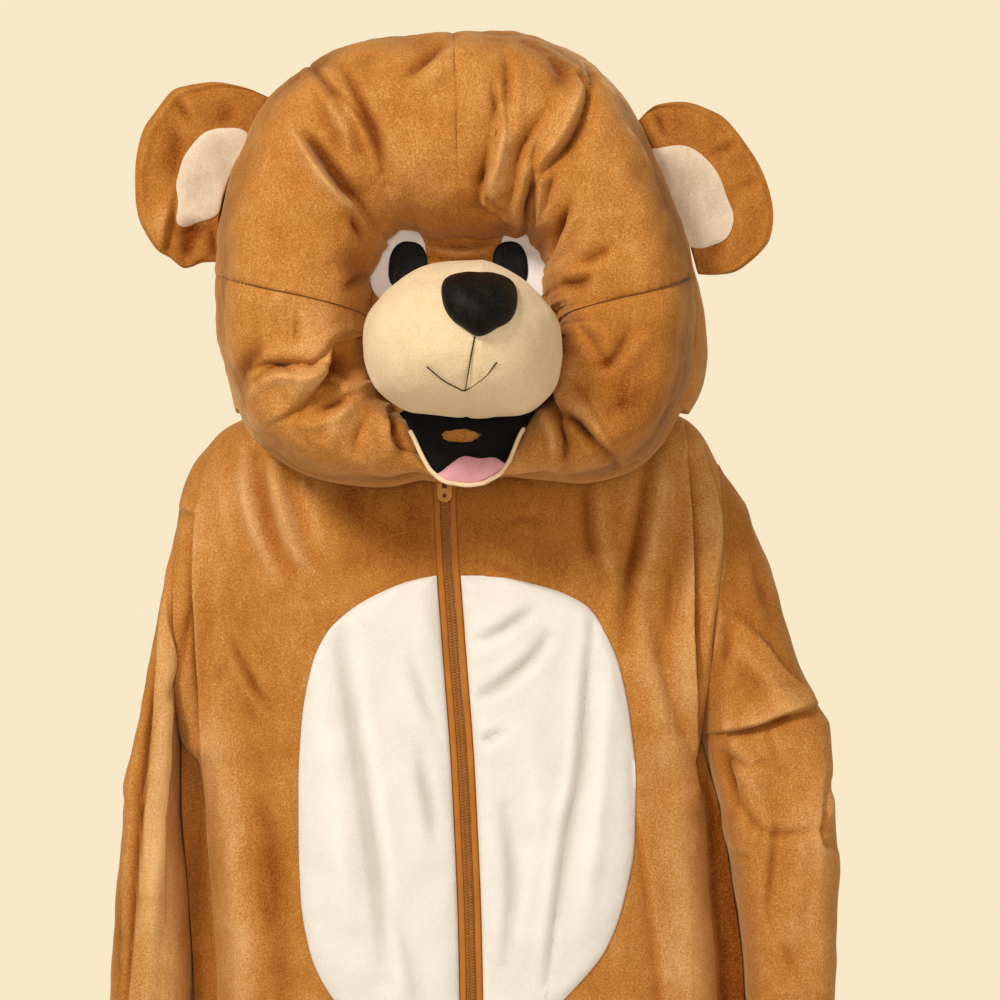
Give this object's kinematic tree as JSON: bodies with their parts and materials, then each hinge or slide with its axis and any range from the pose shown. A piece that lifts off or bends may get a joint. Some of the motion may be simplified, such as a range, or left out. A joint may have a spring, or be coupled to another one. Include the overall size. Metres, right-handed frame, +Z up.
{
  "type": "bear mascot costume",
  "caption": "Plush bear costume: a zipped one-piece suit with a white belly patch, open cuffs and hems, under a hollow stuffed bear head.",
  "frame": {"origin": "middle of the neck, where the costume is held up by its wearer or by what it hangs on", "axes": "+Z up along the costume's height, the front faces -Y, +X is to the viewer's right"},
  "size_m": [0.6828, 0.4235, 1.823],
  "materials": {
    "brown_plush": "short-pile brown velour",
    "beige_plush": "short-pile beige velour",
    "white_plush": "short-pile white velour",
    "ear_plush": "short-pile cream velour",
    "eye_felt": "white felt",
    "black_felt": "black felt",
    "nose_plush": "black short-pile velour",
    "mouth_cloth": "black mesh cloth",
    "tongue_felt": "pink felt",
    "lip_piping": "cream satin piping",
    "zip_tape": "woven brown zip tape",
    "zip_coil": "moulded brown coil",
    "zip_slider": "brown paint",
    "zip_pull": "brown paint"
  },
  "bodies": {
    "costume": {"belly_left": "white_plush", "belly_right": "white_plush", "ear_left_back": "brown_plush", "ear_left_front": "brown_plush", "ear_left_patch": "ear_plush", "ear_right_back": "brown_plush", "ear_right_front": "brown_plush", "ear_right_patch": "ear_plush", "eye_white_left": "eye_felt", "eye_white_right": "eye_felt", "face_panel": "brown_plush", "head_back_left": "brown_plush", "head_back_right": "brown_plush", "head_front_lower": "brown_plush", "head_front_upper_left": "brown_plush", "head_front_upper_right": "brown_plush", "lip_piping": "lip_piping", "mouth_backing": "brown_plush", "mouth_cloth": "mouth_cloth", "muzzle_left": "beige_plush", "muzzle_right": "beige_plush", "nose": "nose_plush", "pupil_left": "black_felt", "pupil_right": "black_felt", "sleeve_left": "brown_plush", "sleeve_right": "brown_plush", "suit_back_left": "brown_plush", "suit_back_right": "brown_plush", "suit_front_left": "brown_plush", "suit_front_right": "brown_plush", "tongue": "tongue_felt", "zip_chain": "zip_coil", "zip_slider": "zip_slider", "zip_tape_left": "zip_tape", "zip_tape_right": "zip_tape"},
    "zip_pull": {"zip_pull": "zip_pull"}
  },
  "joints": [
    {"name": "zip_pull_swing", "type": "hinge", "parent": "costume", "child": "zip_pull", "pos_m": [-0.0145, -0.0586, -0.0345], "axis": [-1, 0, 0], "range_deg": [0, 18]}
  ]
}
